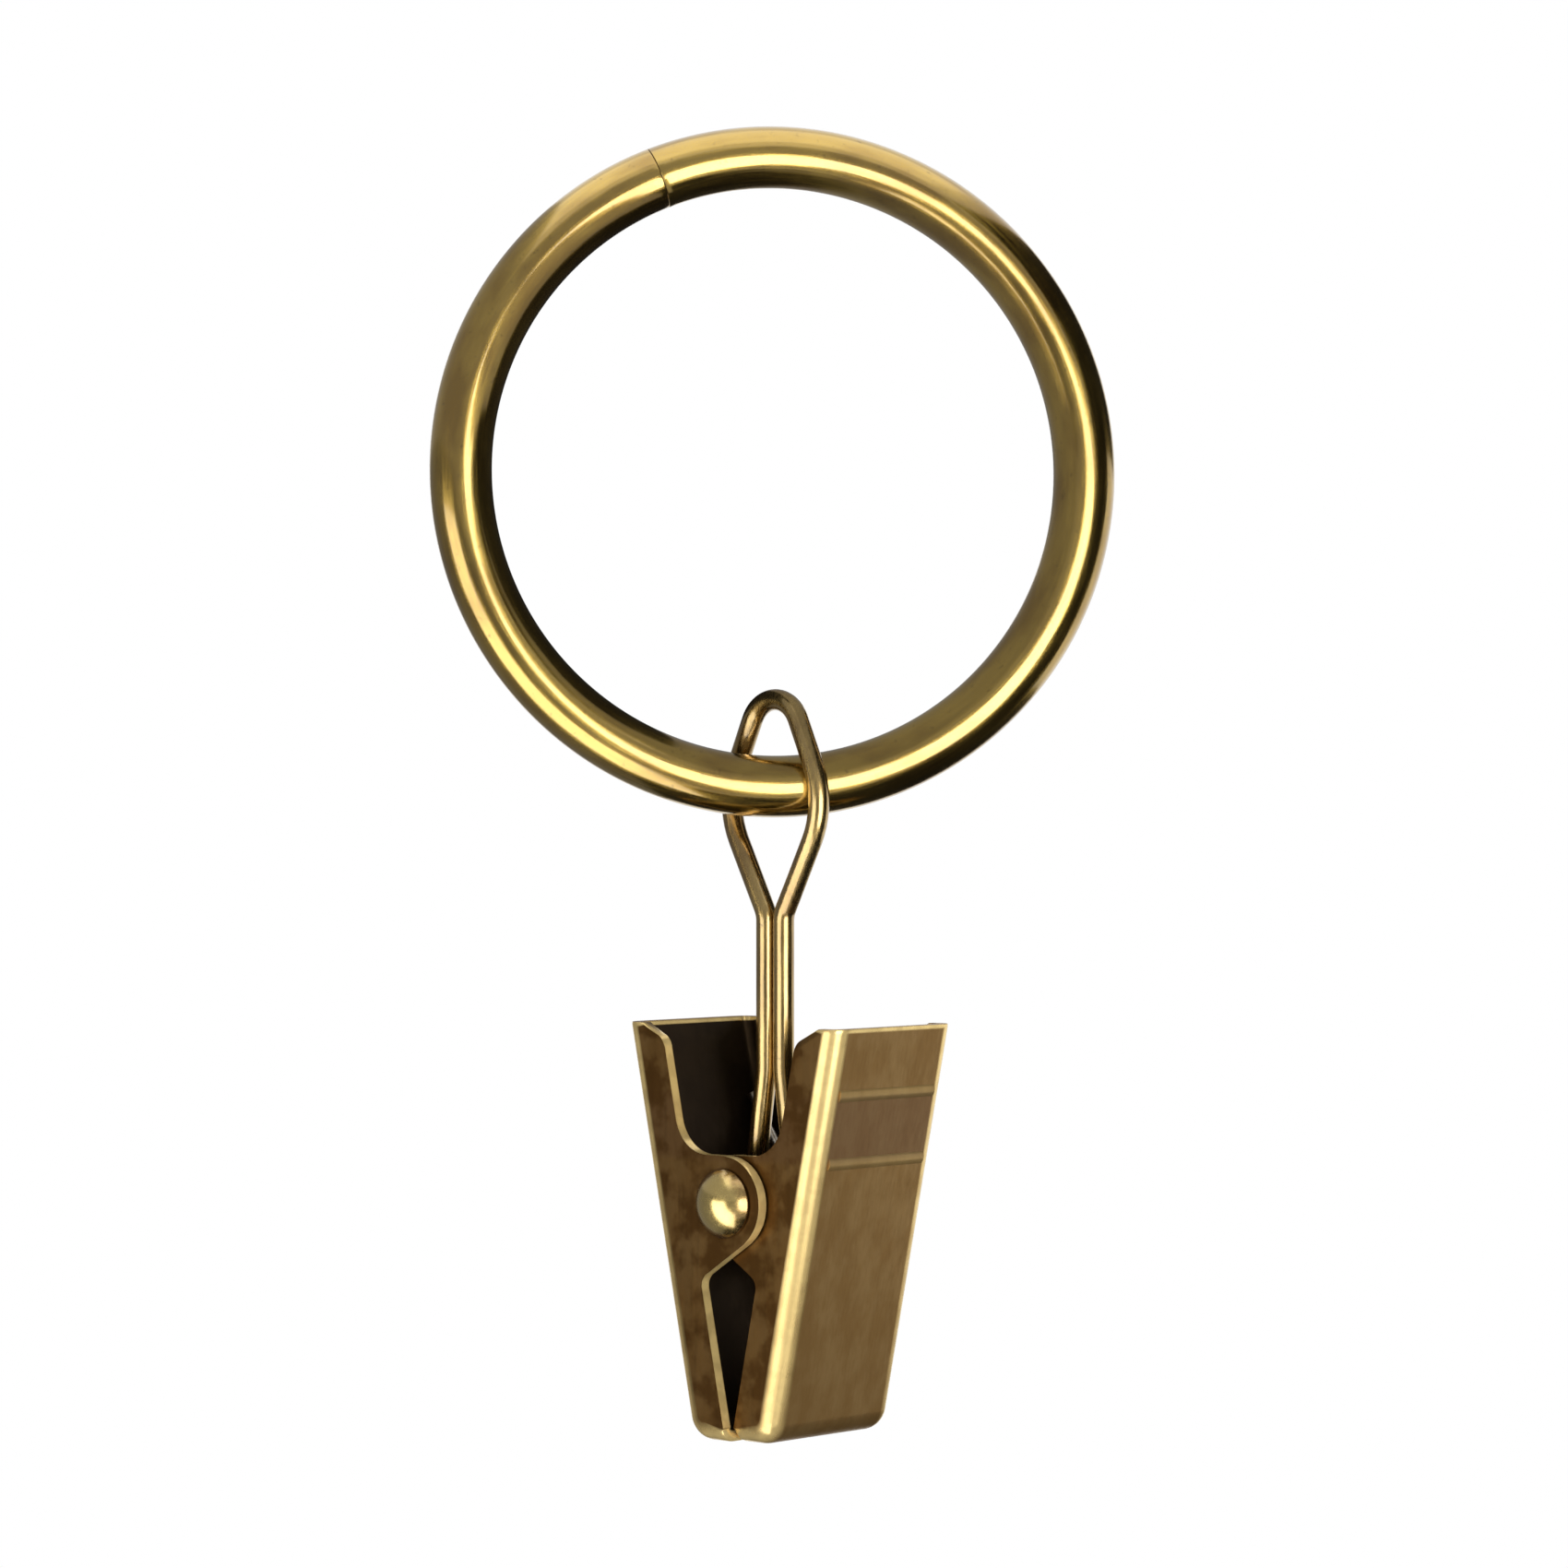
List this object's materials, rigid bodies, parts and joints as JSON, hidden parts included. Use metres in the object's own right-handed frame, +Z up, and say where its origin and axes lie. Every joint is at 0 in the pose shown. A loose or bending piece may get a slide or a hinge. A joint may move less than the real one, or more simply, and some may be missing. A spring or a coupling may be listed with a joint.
{
  "type": "curtain ring with clip",
  "caption": "Round wire curtain ring in antique brass with a wire eyelet and a sprung pinch clip that hangs below it to grip a curtain's edge.",
  "frame": {"origin": "centre of the ring", "axes": "+Y along the ring's axis, the way the rod passes through; +Z up, the clip hanging along -Z"},
  "size_m": [0.039, 0.0171, 0.0739],
  "materials": {
    "ring_brass": "polished antique brass",
    "eyelet_brass": "polished antique brass",
    "jaw_brass": "brushed antique brass",
    "rivet_brass": "polished brass",
    "spring_steel": "dark oiled spring steel"
  },
  "bodies": {
    "ring": {"curtain_ring": "ring_brass"},
    "eyelet": {"eyelet": "eyelet_brass"},
    "left_jaw": {"left_jaw": "jaw_brass", "pivot_rivet": "rivet_brass", "torsion_spring": "spring_steel"},
    "right_jaw": {"right_jaw": "jaw_brass"}
  },
  "joints": [
    {"name": "eyelet_travel", "type": "hinge", "parent": "ring", "child": "eyelet", "pos_m": [0, 0, 0], "axis": [0, 1, 0], "continuous": true},
    {"name": "clip_swing", "type": "hinge", "parent": "eyelet", "child": "left_jaw", "pos_m": [0, 0, -0.041], "axis": [0.766, 0.6428, 0], "range_deg": [-9, 9]},
    {"name": "jaw_open", "type": "hinge", "parent": "left_jaw", "child": "right_jaw", "pos_m": [0, 0, -0.041], "axis": [-0.766, -0.6428, 0], "range_deg": [0, 20], "stiffness_Nm_per_rad": 0.0015, "springref_deg": -40.11, "deforming": ["torsion_spring"]}
  ]
}
